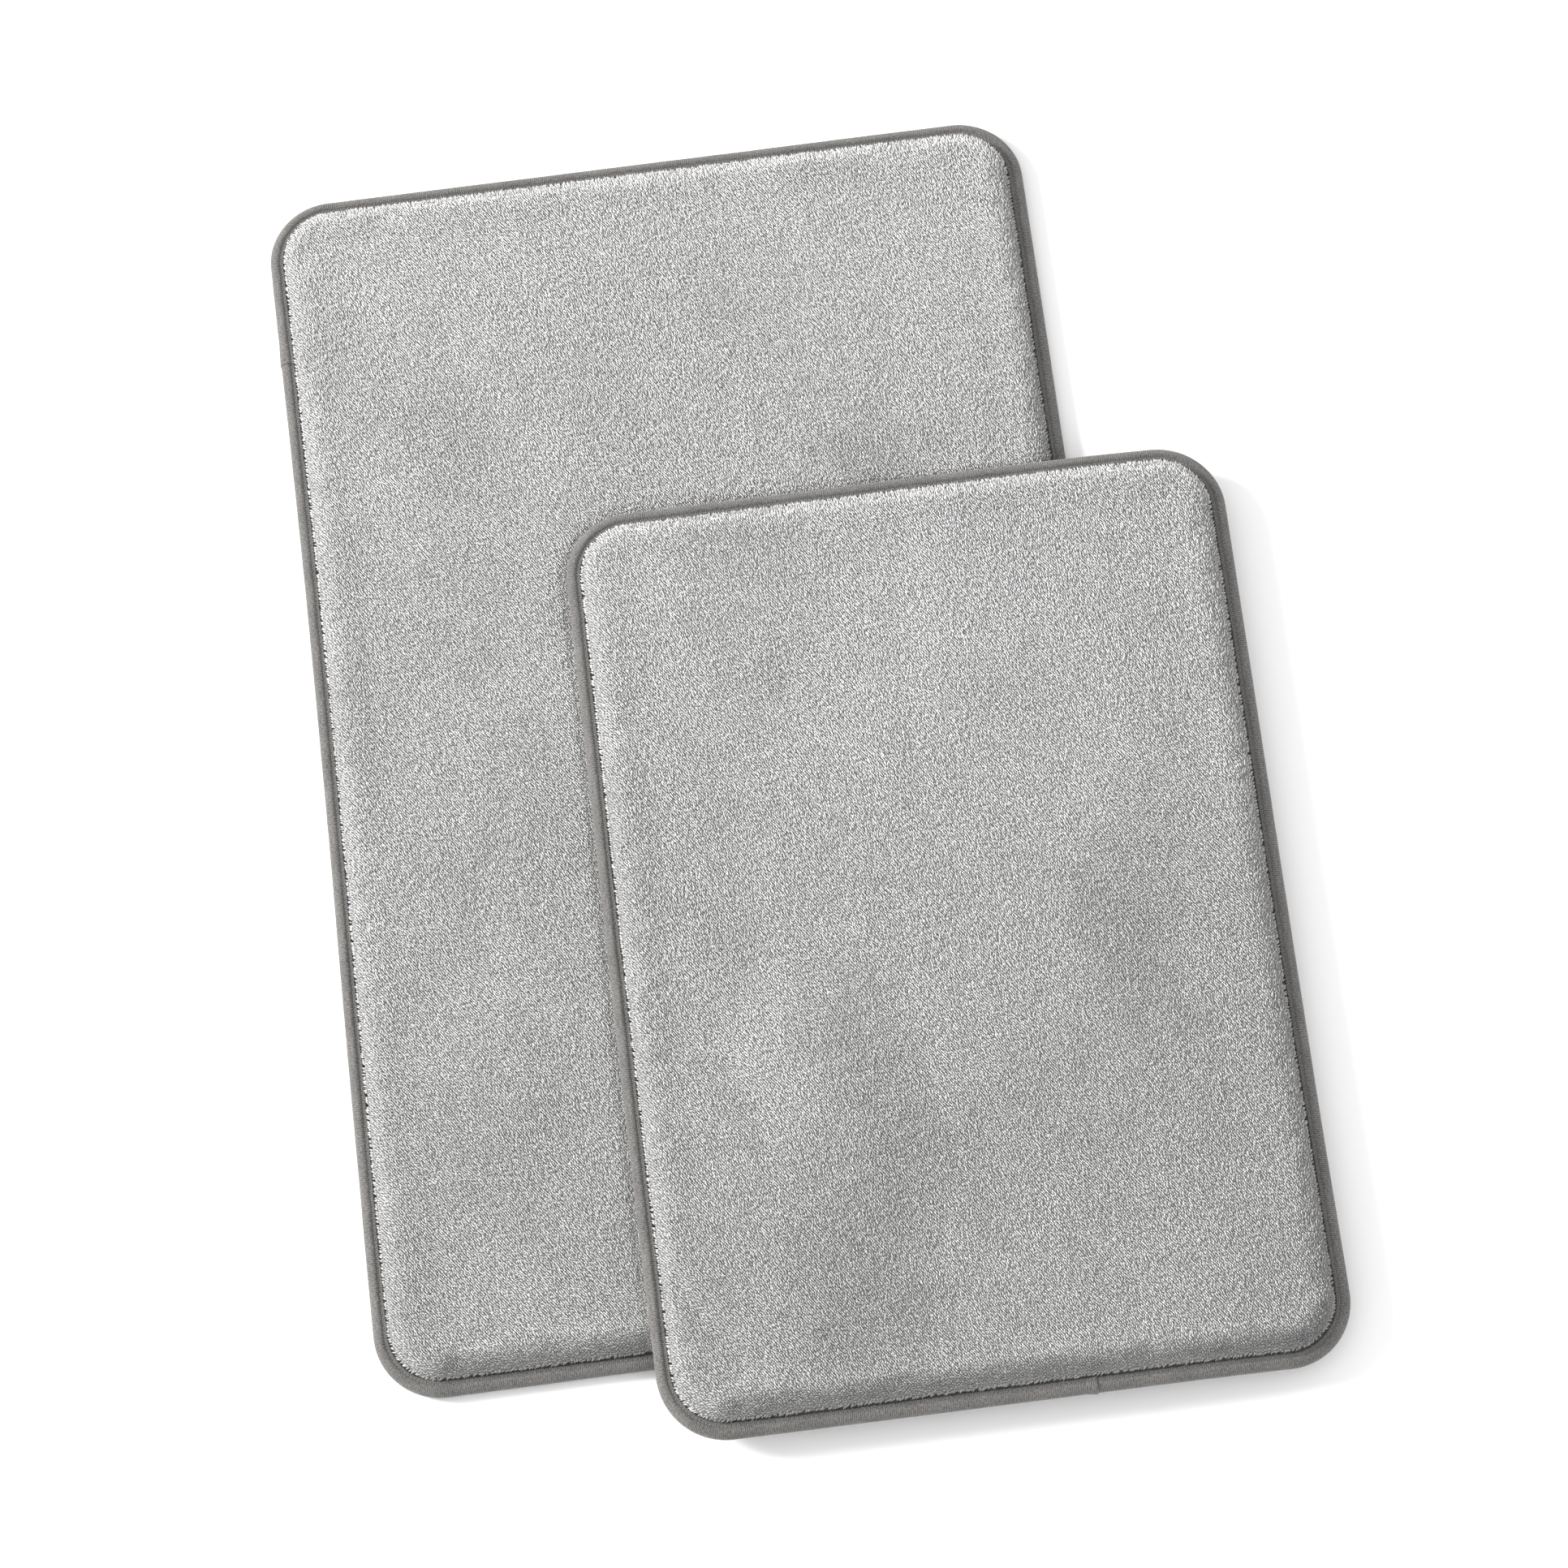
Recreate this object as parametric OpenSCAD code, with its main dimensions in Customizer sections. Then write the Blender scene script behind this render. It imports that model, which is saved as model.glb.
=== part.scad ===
// Two-piece plush bath mat set: a large mat lying flat, with a small mat laid on it.
// Each mat is a sandwich of plush cover, foam core and non-slip backing. A tape is folded
// round the edge of all three and sewn through.
// Origin: centre of the large mat's underside. +X across the mats, +Y along them, +Z up.

/* [Large mat] */
// Width of the large mat, along X
large_w = 508; // [380:1:700]
// Length of the large mat, along Y
large_l = 812.8; // [720:0.1:1100]
// Distance along the left side from the large mat's middle to its binding lap
large_lap_at = 299; // [0:1:300]

/* [Small mat] */
// Width of the small mat, along X
small_w = 431.8; // [320:0.1:600]
// Length of the small mat, along Y
small_l = 609.6; // [420:0.1:900]
// Where the small mat's centre lies on the large mat, along X
small_x = 133.8; // [-160:0.1:160]
// Where the small mat's centre lies on the large mat, along Y
small_y = -153.4; // [-200:0.1:200]
// Distance along the front side from the small mat's middle to its binding lap
small_lap_at = 53; // [-100:1:100]

/* [Layers] */
// Full thickness of a mat, from the floor to the top of the pile
mat_h = 18; // [16:0.5:24]
// Thickness of the plush cover over the foam, pile included
cover_t = 6; // [4:0.5:7]
// Thickness of the non-slip backing
backing_t = 1.4; // [1:0.1:2]
// Radius of the soft shoulder where the cover falls to the binding
shoulder_r = 10; // [8.5:0.5:12]

/* [Binding] */
// Radius of a mat's corners, at the outside of the binding
corner_r = 43; // [35:1:60]
// Height of the bound edge
edge_h = 10; // [9:0.5:11]
// Width of binding seen from above
tape_w = 9.5; // [8.5:0.5:12]
// Thickness of the binding tape
tape_t = 1; // [0.8:0.1:1.2]
// Length of tape that overlaps where its two ends meet
lap_l = 14; // [8:1:25]
// Thickness of the turned-in end that lies over the tape
lap_t = 0.8; // [0.5:0.1:1]
// Diameter of the sewing thread
thread_d = 0.7; // [0.5:0.1:0.9]

/* [Hidden] */
$fn = 96;

// Gap that keeps the small mat's underside off the large mat's pile
rest_gap = 0.3;
// Width of the groove between the binding and the foot of the pile
groove_w = 1.2;
// How far inside the tape's inner edge the seam runs
seam_inset = 2;
// Width over which the backing steps up from the floor onto the tape's lower leg
backing_step = 1;
// Thickness of the cover where the seam presses it onto the foam
pressed_cover = 2;

pile_grey = [0.74, 0.74, 0.73];
tape_grey = [0.55, 0.54, 0.52];
thread_grey = [0.46, 0.45, 0.44];
backing_grey = [0.80, 0.80, 0.78];
foam_white = [0.93, 0.92, 0.86];

roll_r = edge_h / 2;
tape_inner_x = corner_r - tape_w;
shoulder_x = tape_inner_x - groove_w - shoulder_r;
seam_x = tape_inner_x + seam_inset;
foam_top = mat_h - cover_t;
foam_shoulder_r = shoulder_r - cover_t;
flange_top = edge_h - tape_t;

// Sections: X is measured outward from the centre of a corner's arc, Y is height.

// Everything under the upper face of a layer: low at the edge, with a round shoulder
module layer_section(edge_top, top, radius) {
    square([corner_r, edge_top]);
    square([shoulder_x, top]);
    intersection() {
        square([corner_r, top]);
        translate([shoulder_x, top - radius]) circle(r = radius);
    }
}

// The space between the tape's two legs, with the open middle of the mat beside it
module inside_tape_section() {
    square([tape_inner_x, mat_h]);
    translate([0, tape_t]) square([corner_r - roll_r, edge_h - 2 * tape_t]);
    translate([corner_r - roll_r, roll_r]) circle(r = roll_r - tape_t);
}

// What lies under the top of the backing
module under_foam_section() {
    polygon([
        [0, 0],
        [corner_r, 0],
        [corner_r, tape_t + backing_t],
        [tape_inner_x, tape_t + backing_t],
        [tape_inner_x - backing_step, backing_t],
        [0, backing_t]
    ]);
}

// The step in the backing's underside that makes room for the tape's lower leg
module tape_foot_section() {
    polygon([
        [tape_inner_x - backing_step, 0],
        [corner_r, 0],
        [corner_r, tape_t],
        [tape_inner_x, tape_t]
    ]);
}

module cover_section() {
    difference() {
        intersection() {
            layer_section(flange_top, mat_h, shoulder_r);
            inside_tape_section();
        }
        layer_section(flange_top - pressed_cover, foam_top, foam_shoulder_r);
    }
}

module foam_section() {
    difference() {
        intersection() {
            layer_section(flange_top - pressed_cover, foam_top, foam_shoulder_r);
            inside_tape_section();
        }
        under_foam_section();
    }
}

module backing_section() {
    difference() {
        intersection() {
            under_foam_section();
            inside_tape_section();
        }
        tape_foot_section();
    }
}

// The outer face of the folded tape, filled in
module bound_edge_section(extra) {
    translate([corner_r - roll_r, roll_r]) circle(r = roll_r + extra);
    translate([tape_inner_x, 0]) square([tape_w - roll_r, edge_h + extra]);
}

module needle_thread_section() {
    translate([seam_x, edge_h]) circle(d = thread_d);
}

module bobbin_thread_section() {
    translate([seam_x, thread_d / 2]) circle(d = thread_d);
}

module tape_section() {
    difference() {
        bound_edge_section(0);
        inside_tape_section();
        needle_thread_section();
        translate([seam_x - thread_d / 2, 0]) square(thread_d);
    }
}

// The turned-in tape end: over the top and the outer roll, and down to the floor
module lap_section() {
    difference() {
        intersection() {
            bound_edge_section(lap_t);
            translate([tape_inner_x, 0]) square([tape_w + lap_t, edge_h + lap_t]);
        }
        bound_edge_section(0);
        needle_thread_section();
    }
}

// Carries a section round the outline of a mat
module round_the_edge(w, l) {
    half_w = w / 2 - corner_r;
    half_l = l / 2 - corner_r;
    for (side = [0, 1]) {
        rotate([0, 0, 180 * side]) {
            translate([half_w, half_l, 0]) rotate_extrude(angle = 90) children();
            translate([-half_w, half_l, 0]) rotate([0, 0, 90]) rotate_extrude(angle = 90) children();
            translate([half_w, half_l, 0]) run_along(2 * half_l) children();
            translate([-half_w, half_l, 0]) rotate([0, 0, 90]) run_along(2 * half_w) children();
        }
    }
}

// A straight stretch of a section that ends at the origin and comes from -Y
module run_along(length) {
    rotate([90, 0, 0]) linear_extrude(height = length) children();
}

// The flat middle of a layer
module middle(w, l, low, high) {
    translate([corner_r - w / 2, corner_r - l / 2, low])
        cube([w - 2 * corner_r, l - 2 * corner_r, high - low]);
}

module on_large_mat() {
    translate([small_x, small_y, mat_h + rest_gap]) children();
}

module pile_cover(w, l) {
    color(pile_grey) union() {
        round_the_edge(w, l) cover_section();
        middle(w, l, foam_top, mat_h);
    }
}

module foam_core(w, l) {
    color(foam_white) union() {
        round_the_edge(w, l) foam_section();
        middle(w, l, backing_t, foam_top);
    }
}

module nonslip_backing(w, l) {
    color(backing_grey) union() {
        round_the_edge(w, l) backing_section();
        middle(w, l, 0, backing_t);
    }
}

module edge_binding(w, l) {
    color(tape_grey) round_the_edge(w, l) tape_section();
}

module needle_thread(w, l) {
    color(thread_grey) round_the_edge(w, l) needle_thread_section();
}

module bobbin_thread(w, l) {
    color(thread_grey) round_the_edge(w, l) bobbin_thread_section();
}

// A lap on the +X side of the origin, centred on the X axis
module binding_lap(half_width) {
    color(tape_grey)
        translate([half_width - corner_r, lap_l / 2, 0]) run_along(lap_l) lap_section();
}

module large_pile_cover() { pile_cover(large_w, large_l); }
module large_foam_core() { foam_core(large_w, large_l); }
module large_nonslip_backing() { nonslip_backing(large_w, large_l); }
module large_edge_binding() { edge_binding(large_w, large_l); }
module large_needle_thread() { needle_thread(large_w, large_l); }
module large_bobbin_thread() { bobbin_thread(large_w, large_l); }
// On the left side
module large_binding_lap() {
    translate([0, large_lap_at, 0]) rotate([0, 0, 180]) binding_lap(large_w / 2);
}

module small_pile_cover() { on_large_mat() pile_cover(small_w, small_l); }
module small_foam_core() { on_large_mat() foam_core(small_w, small_l); }
module small_nonslip_backing() { on_large_mat() nonslip_backing(small_w, small_l); }
module small_edge_binding() { on_large_mat() edge_binding(small_w, small_l); }
module small_needle_thread() { on_large_mat() needle_thread(small_w, small_l); }
module small_bobbin_thread() { on_large_mat() bobbin_thread(small_w, small_l); }
// On the front side
module small_binding_lap() {
    on_large_mat() translate([small_lap_at, 0, 0]) rotate([0, 0, -90]) binding_lap(small_l / 2);
}

large_pile_cover();
large_foam_core();
large_nonslip_backing();
large_edge_binding();
large_binding_lap();
large_needle_thread();
large_bobbin_thread();
small_pile_cover();
small_foam_core();
small_nonslip_backing();
small_edge_binding();
small_binding_lap();
small_needle_thread();
small_bobbin_thread();
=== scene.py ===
"""Looks for a set of two plush bath mats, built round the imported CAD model. All lengths are in metres."""
import math

import bpy
import numpy as np
from mathutils import Matrix, Vector
from mathutils.bvhtree import BVHTree


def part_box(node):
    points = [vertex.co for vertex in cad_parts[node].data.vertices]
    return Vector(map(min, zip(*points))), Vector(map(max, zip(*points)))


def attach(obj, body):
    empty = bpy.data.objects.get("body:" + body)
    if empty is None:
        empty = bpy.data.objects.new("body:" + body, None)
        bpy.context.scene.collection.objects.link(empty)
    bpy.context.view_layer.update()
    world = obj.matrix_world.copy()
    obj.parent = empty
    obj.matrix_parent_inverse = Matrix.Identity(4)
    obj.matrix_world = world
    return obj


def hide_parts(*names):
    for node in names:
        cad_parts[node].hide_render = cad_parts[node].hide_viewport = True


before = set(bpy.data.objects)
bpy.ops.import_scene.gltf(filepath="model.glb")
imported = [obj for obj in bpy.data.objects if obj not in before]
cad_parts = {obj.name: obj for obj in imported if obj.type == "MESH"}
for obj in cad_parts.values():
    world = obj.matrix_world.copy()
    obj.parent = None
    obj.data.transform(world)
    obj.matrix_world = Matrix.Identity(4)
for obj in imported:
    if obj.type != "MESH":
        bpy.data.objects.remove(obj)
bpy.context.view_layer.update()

MM = 0.001

# ---------------------------------------------------------------- the mats' section, as in the CAD part
CORNER_R = 43 * MM      # outer radius of a mat's corners
TAPE_W = 9.5 * MM       # binding seen from above
EDGE_H = 10 * MM        # height of the bound edge
ROLL_R = EDGE_H / 2     # radius of the rolled outer edge
TAPE_T = 1 * MM
GROOVE_W = 1.2 * MM     # between the binding and the foot of the pile
FOAM_TOP = 12 * MM
PILE_FOOT = TAPE_W + GROOVE_W + 1.0 * MM    # how far in from the edge the pile starts
SEAM_IN = TAPE_W - 2 * MM           # how far in from the edge the seam runs
SEAM_TOP = EDGE_H - 0.8 * MM        # height to which the seam pulls the tape down

# ---------------------------------------------------------------- pile
SKIN_TOP = 16.3 * MM    # ground cloth that the pile stands on, when the foam has filled it
SWELL = 1.4 * MM        # how far the foam swells the ground cloth
WAIST = 12.0 * MM       # height at which the shoulder bulges furthest out
OVERHANG = 0.6 * MM     # how far the shoulder bulges out past its foot, where the pile leans outward
GROOVE_FLOOR = 5.6 * MM # height of the cover where the seam pulls it down beside the tape
SHOULDER_W = 10 * MM    # width of the round of the shoulder, seen from above
FRONT_WIDER = 0.4       # share by which that round is wider at the front
DIP = 0.35 * MM         # depth of the foam's shallow dips
LEAN = math.radians(128)            # heading that the pile is brushed towards, from +X
TUFT_STEP = 1.5 * MM                # from tuft to tuft along the way they are brushed
TUFT_GAP = 1.3 * MM                # and across it
TUFT_LENGTH = 2.3 * MM
TUFT_WIDTH = 1.1 * MM
TUFT_RIDGE = 1.5 * MM               # mean height of a tuft's ridge over the cloth
TUFT_ROOT = 0.35 * MM               # how far a tuft's foot is sunk into the cloth
TUFT_RAISE = math.radians(20)       # how steeply a tuft's tip stands up from the cloth
TUFTED_FROM = 10.2 * MM             # height above which the shoulder carries pile
STEEP = 0.5                         # upward part of the cloth's direction where planting from above ends
SPILL_W = 4 * MM                    # width of the pile that spills outward at the edge
PAINTED_SHADE_W = 14 * MM                  # width of the painted shade on the shoulders that the pile leans away from, most at the front
PAINTED_SHADE_TONE = 6.5                   # how many greys of painted shade there are there at most
FOOT_SHADE_W = 2.5 * MM                   # width of the painted shade on the pile deep beside the tape, in the groove
FOOT_SHADE_TONE = 2.2                     # how many greys of painted shade there are there
PRESSED_SHADOW_TONE = 3.2                  # how many greys of painted contact shadow the pile gets beside the edge of the small mat, which presses it down
MIDDLE_TONE = 5.4                   # of the tufts' greys, where the pile isn't stroked
STROKES = 8                         # of a hand over each mat's pile, at random places
STROKE_W = (14 * MM, 40 * MM)       # half width of a stroke, least and most
STROKE_L = (25 * MM, 105 * MM)      # half length of a stroke, along the mat
STROKE_TONE = (0.6, 1.7)            # how many greys darker a stroke is
LIGHTER = 0.25                      # share of the strokes that are lighter instead
MOST_FACES = 190000                 # in one piece of tufts

# ---------------------------------------------------------------- binding, stitches and grip dots
RIB_PITCH = 1.3 * MM    # of the ribs in the binding tape
LAP_L = 14 * MM
LAP_T = {"large": 0.5 * MM, "small": 0.8 * MM}      # thickness of the folded end
STITCH = 3 * MM         # length of a stitch
THREAD_R = 0.28 * MM
DOT_R = 2.4 * MM
DOT_H = 0.8 * MM
DOT_PITCH = 13 * MM
CLOTH_IN = 2.4 * MM     # how far in from the edge the backing cloth ends


class Mat:
    """One mat of the set. Its pieces are built about its own centre, with its underside at height 0."""

    def __init__(self, name, seed):
        low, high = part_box(name + "_edge_binding")
        self.name = name
        self.seed = seed
        self.body = name + "_mat"
        self.width = high.x - low.x
        self.length = high.y - low.y
        self.centre = np.array([(low.x + high.x) / 2, (low.y + high.y) / 2, low.z])


large = Mat("large", 11)
small = Mat("small", 23)
small_on_large = small.centre - large.centre


# ---------------------------------------------------------------- smooth random fields
def smooth_noise(x, y, size, seed):
    """A smooth random field from -1 to 1 whose features are about size across."""
    table = np.random.default_rng(seed).uniform(-1, 1, (64, 64))
    gx, gy = np.asarray(x) / size + 1000, np.asarray(y) / size + 1000
    ix, iy = np.floor(gx).astype(int), np.floor(gy).astype(int)
    fx, fy = gx - ix, gy - iy
    fx, fy = fx * fx * (3 - 2 * fx), fy * fy * (3 - 2 * fy)
    at = lambda i, j: table[(ix + i) % 64, (iy + j) % 64]
    low = at(0, 0) * (1 - fx) + at(1, 0) * fx
    high = at(0, 1) * (1 - fx) + at(1, 1) * fx
    return low * (1 - fy) + high * fy


def ring_noise(along, around, wave, seed):
    """A smooth random field along a closed line, from -1 to 1: along runs from 0 to around."""
    count = max(4, int(round(around / wave)))
    table = np.random.default_rng(seed).uniform(-1, 1, count)
    g = np.asarray(along) / around * count
    i = np.floor(g).astype(int)
    f = g - i
    f = f * f * (3 - 2 * f)
    return table[i % count] * (1 - f) + table[(i + 1) % count] * f


# ---------------------------------------------------------------- the way the mats lie
SUPPORT_X = large.width / 2 - 16 * MM       # beyond this the small mat hangs free on the right
SUPPORT_Y = large.length / 2 - 16 * MM      # and here at the front
DROOP = 7.5 * MM                            # how far its right side sinks
DROOP_REACH = 112 * MM
BOW = 1.6 * MM                              # how far a mat's long sides bow
SLACK = 1.2 * MM        # how far the small mat's right side and both front sides lie further out


def lie(mat, points):
    """Moves points from a mat's own frame to its place, with the sag and bow of a mat laid by hand."""
    p = np.array(points, float).reshape(-1, 3)
    x, y = p[:, 0].copy(), p[:, 1].copy()
    if mat is large:
        p[:, 0] += BOW * np.sin(y / mat.length * 5.2 + 0.9) * (0.6 - 0.4 * x / mat.width * 2)
        p[:, 1] += 1.4 * MM * (x / mat.width * 2 + 0.4) * np.clip(-y / mat.length * 2, 0, 1) ** 2
    else:
        p[:, 0] += 0.7 * BOW * np.sin(y / mat.length * 4.4 - 0.5)
        past_x = np.clip(x + small_on_large[0] - SUPPORT_X, 0, None) / DROOP_REACH
        past_y = np.clip(-y - small_on_large[1] - SUPPORT_Y, 0, None) / DROOP_REACH
        p[:, 0] += SLACK * past_x
        p[:, 2] -= DROOP * (past_x ** 1.8 + past_y ** 1.8)
    p[:, 1] -= SLACK * np.clip(-y / mat.length * 2, 0, 1) ** 2
    return p + mat.centre


# ---------------------------------------------------------------- meshes
def mesh_object(name, points, faces, mat, materials, place=True):
    """A new piece that rides on a mat. With place, its points are given in the mat's own frame."""
    mesh = bpy.data.meshes.new(name)
    points = lie(mat, points) if place else np.asarray(points)
    mesh.from_pydata(points.tolist(), [], [list(f) for f in faces])
    mesh.validate()
    mesh.shade_smooth()
    for material in materials:
        mesh.materials.append(material)
    piece = bpy.data.objects.new(name, mesh)
    bpy.context.scene.collection.objects.link(piece)
    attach(piece, mat.body)
    return piece


def rim(mat, step):
    """Walks round a mat: the line of its arcs' centres, the way out, the distance walked and its total."""
    a, b = mat.width / 2 - CORNER_R, mat.length / 2 - CORNER_R
    arc = CORNER_R * math.pi / 2
    nx, ny, nc = (max(4, int(round(d / step))) for d in (2 * a, 2 * b, arc))
    base, out, walked, here = [], [], [], 0.0
    corners = ((a, b, 0), (-a, b, 1), (-a, -b, 2), (a, -b, 3))
    for cx, cy, quarter in corners:
        for k in range(nc):
            angle = (quarter + k / nc) * math.pi / 2
            base.append((cx, cy))
            out.append((math.cos(angle), math.sin(angle)))
            walked.append(here + arc * k / nc)
        here += arc
        run, count = (2 * a, nx) if quarter % 2 == 0 else (2 * b, ny)
        angle = (quarter + 1) * math.pi / 2
        dx, dy = -math.sin(angle), math.cos(angle)
        for k in range(count):
            base.append((cx + dx * run * k / count, cy + dy * run * k / count))
            out.append((math.cos(angle), math.sin(angle)))
            walked.append(here + run * k / count)
        here += run
    return np.array(base), np.array(out), np.array(walked), here


def at_rim(base, out, inset, height):
    """Points at an inset from the edge and a height, both of which may vary round the mat."""
    inset = np.broadcast_to(inset, len(base))
    height = np.broadcast_to(height, len(base))
    xy = base + out * (CORNER_R - inset)[:, None]
    return np.column_stack([xy, height])


def inside_edge(mat, x, y):
    """How far a point is in from the mat's outer edge."""
    qx = np.abs(x) - (mat.width / 2 - CORNER_R)
    qy = np.abs(y) - (mat.length / 2 - CORNER_R)
    outside = np.hypot(np.maximum(qx, 0), np.maximum(qy, 0))
    return CORNER_R - outside - np.minimum(np.maximum(qx, qy), 0)


def ring_faces(rings, count, closed):
    """Quads between rings of count points; closed joins the last ring to the first."""
    i = np.arange(count)
    j = (i + 1) % count
    faces = []
    for k in range(rings if closed else rings - 1):
        a, b = k * count, ((k + 1) % rings) * count
        faces.append(np.column_stack([a + i, a + j, b + j, b + i]))
    return np.concatenate(faces)


def grid_cap(mat, step, height, first, rim_index, flip):
    """Fills the inside of a ring with a grid, so that the cloth can swell evenly."""
    a, b = mat.width / 2 - CORNER_R, mat.length / 2 - CORNER_R
    nx, ny = (max(4, int(round(2 * d / step))) for d in (a, b))
    arc_count = max(4, int(round(CORNER_R * math.pi / 2 / step)))
    xs, ys = np.linspace(-a, a, nx + 1), np.linspace(-b, b, ny + 1)
    index = np.zeros((nx + 1, ny + 1), int)
    points = []
    starts, here = [], 0
    for run in (nx, ny, nx, ny):
        starts.append(here + arc_count)
        here += arc_count + run
    for k in range(nx + 1):
        index[nx - k, ny] = rim_index[(starts[0] + k) % here]
        index[k, 0] = rim_index[(starts[2] + k) % here]
    for k in range(ny + 1):
        index[0, ny - k] = rim_index[(starts[1] + k) % here]
        index[nx, k] = rim_index[(starts[3] + k) % here]
    for i in range(1, nx):
        for j in range(1, ny):
            index[i, j] = first + len(points)
            points.append((xs[i], ys[j], height))
    quads = [(index[i, j], index[i + 1, j], index[i + 1, j + 1], index[i, j + 1])
             for i in range(nx) for j in range(ny)]
    return points, [q[::-1] for q in quads] if flip else quads


def shell(mat, step, section):
    """A closed slab. Its section runs from the middle of the top over the edge to the middle of the bottom.

    The section is a list of (inset, height), or a function that gives one from the outward directions.
    """
    base, out, _, _ = rim(mat, step)
    count = len(base)
    section = section(out) if callable(section) else section
    points = np.concatenate([at_rim(base, out, u, z) for u, z in section])
    faces = [tuple(f) for f in ring_faces(len(section), count, False)[:, ::-1]]
    # On the line of the arcs' centres each corner's points meet in one.
    corner = {}
    for ring in (0, len(section) - 1):
        for k in range(count):
            key = (ring, round(base[k][0], 6), round(base[k][1], 6))
            corner[ring * count + k] = corner.get(key, ring * count + k)
            corner.setdefault(key, ring * count + k)
    same = lambda v: corner.get(v, v)
    faces = [tuple(dict.fromkeys(same(v) for v in f)) for f in faces]
    faces = [f for f in faces if len(f) > 2]
    top = [same(k) for k in range(count)]
    bottom = [same((len(section) - 1) * count + k) for k in range(count)]
    extra, quads = grid_cap(mat, step, section[0][1], len(points), top, False)
    points = np.concatenate([points, np.array(extra)])
    faces += quads
    extra, quads = grid_cap(mat, step, section[-1][1], len(points), bottom, True)
    points = np.concatenate([points, np.array(extra)])
    faces += quads
    used = sorted({v for f in faces for v in f})
    renumber = {v: k for k, v in enumerate(used)}
    return points[used], [tuple(renumber[v] for v in f) for f in faces]


# ---------------------------------------------------------------- materials
def material(name, colour, roughness, sheen=0.0, sheen_roughness=0.5):
    made = bpy.data.materials.new(name)
    made.use_nodes = True
    shader = made.node_tree.nodes["Principled BSDF"]
    shader.inputs["Base Color"].default_value = (*colour, 1)
    shader.inputs["Roughness"].default_value = roughness
    shader.inputs["Sheen Weight"].default_value = sheen
    shader.inputs["Sheen Roughness"].default_value = sheen_roughness
    shader.inputs["Specular IOR Level"].default_value = 0.25
    return made, made.node_tree, shader


def node(tree, kind, **settings):
    made = tree.nodes.new(kind)
    for key, value in settings.items():
        if key in made.inputs:
            made.inputs[key].default_value = value
        else:
            setattr(made, key, value)
    return made


def noise(tree, vector, scale, detail=2.0, roughness=0.5):
    made = node(tree, "ShaderNodeTexNoise", Scale=scale, Detail=detail, Roughness=roughness)
    tree.links.new(vector, made.inputs["Vector"])
    return made.outputs["Fac"]


def multiply_add(tree, value, factor, more):
    """value * factor + more, where more is a socket or a number."""
    made = node(tree, "ShaderNodeMath", operation="MULTIPLY_ADD")
    tree.links.new(value, made.inputs[0])
    made.inputs[1].default_value = factor
    if isinstance(more, (int, float)):
        made.inputs[2].default_value = more
    else:
        tree.links.new(more, made.inputs[2])
    return made.outputs[0]


def ramp(tree, value, stops):
    made = node(tree, "ShaderNodeValToRGB")
    elements = made.color_ramp.elements
    while len(elements) < len(stops):
        elements.new(0.5)
    for element, (at, colour) in zip(elements, stops):
        element.position = at
        element.color = (*colour, 1)
    tree.links.new(value, made.inputs["Fac"])
    return made.outputs["Color"]


def bump(tree, shader, height, distance):
    made = node(tree, "ShaderNodeBump", Strength=1.0, Distance=distance)
    tree.links.new(height, made.inputs["Height"])
    tree.links.new(made.outputs["Normal"], shader.inputs["Normal"])


def grey(level, warmth=0.0):
    return (level * (1 + warmth), level, level * (1 - warmth))


def stretched(tree, across, along, heading):
    """Object coordinates turned to a heading and drawn out along it."""
    where = node(tree, "ShaderNodeTexCoord")
    mapping = node(tree, "ShaderNodeMapping", vector_type="TEXTURE")
    mapping.inputs["Rotation"].default_value = (0, 0, heading)
    mapping.inputs["Scale"].default_value = (along, across, across)
    tree.links.new(where.outputs["Object"], mapping.inputs["Vector"])
    return mapping.outputs["Vector"]


def ground_cloth():
    """The brushed face of the plush: short grains that follow the lean of the pile, over soft blotches. Its
    greys are far darker than the tufts', as painted shade in the gaps between them and in the groove.
    """
    made, tree, shader = material("pile_ground_cloth", grey(0.5), 0.9, 0.3)
    grain = noise(tree, stretched(tree, 1, 1.9, LEAN), 900, 2, 0.6)
    blotches = noise(tree, stretched(tree, 1, 1, 0), 14, 3)
    mixed = multiply_add(tree, blotches, 0.4, grain)
    # Painted shade: the cloth is coloured far darker than the tufts, so that the gaps between them and the
    # groove look shaded.
    stops = [(0.45, grey(0.15)), (0.95, grey(0.27))]
    tree.links.new(ramp(tree, mixed, stops), shader.inputs["Base Color"])
    bump(tree, shader, grain, 0.9 * MM)
    return made


def tuft_tones():
    """Greys for the tufts, dark to light, with fibres that vary sheen, roughness and surface."""
    tones = []
    for number, level in enumerate(np.linspace(0.33, 0.85, 9)):
        colour = grey(level, 0.02 - 0.02 * level)
        made, tree, shader = material(f"pile_tuft_{number}", colour, 0.85, 0.35, 0.45)
        fibres = noise(tree, stretched(tree, 1, 4, LEAN), 2600, 1)
        tree.links.new(multiply_add(tree, fibres, 1.4, -0.35), shader.inputs["Sheen Weight"])
        tree.links.new(multiply_add(tree, fibres, -0.5, 1.1), shader.inputs["Roughness"])
        bump(tree, shader, fibres, 0.12 * MM)
        tones.append(made)
    return tones


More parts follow.
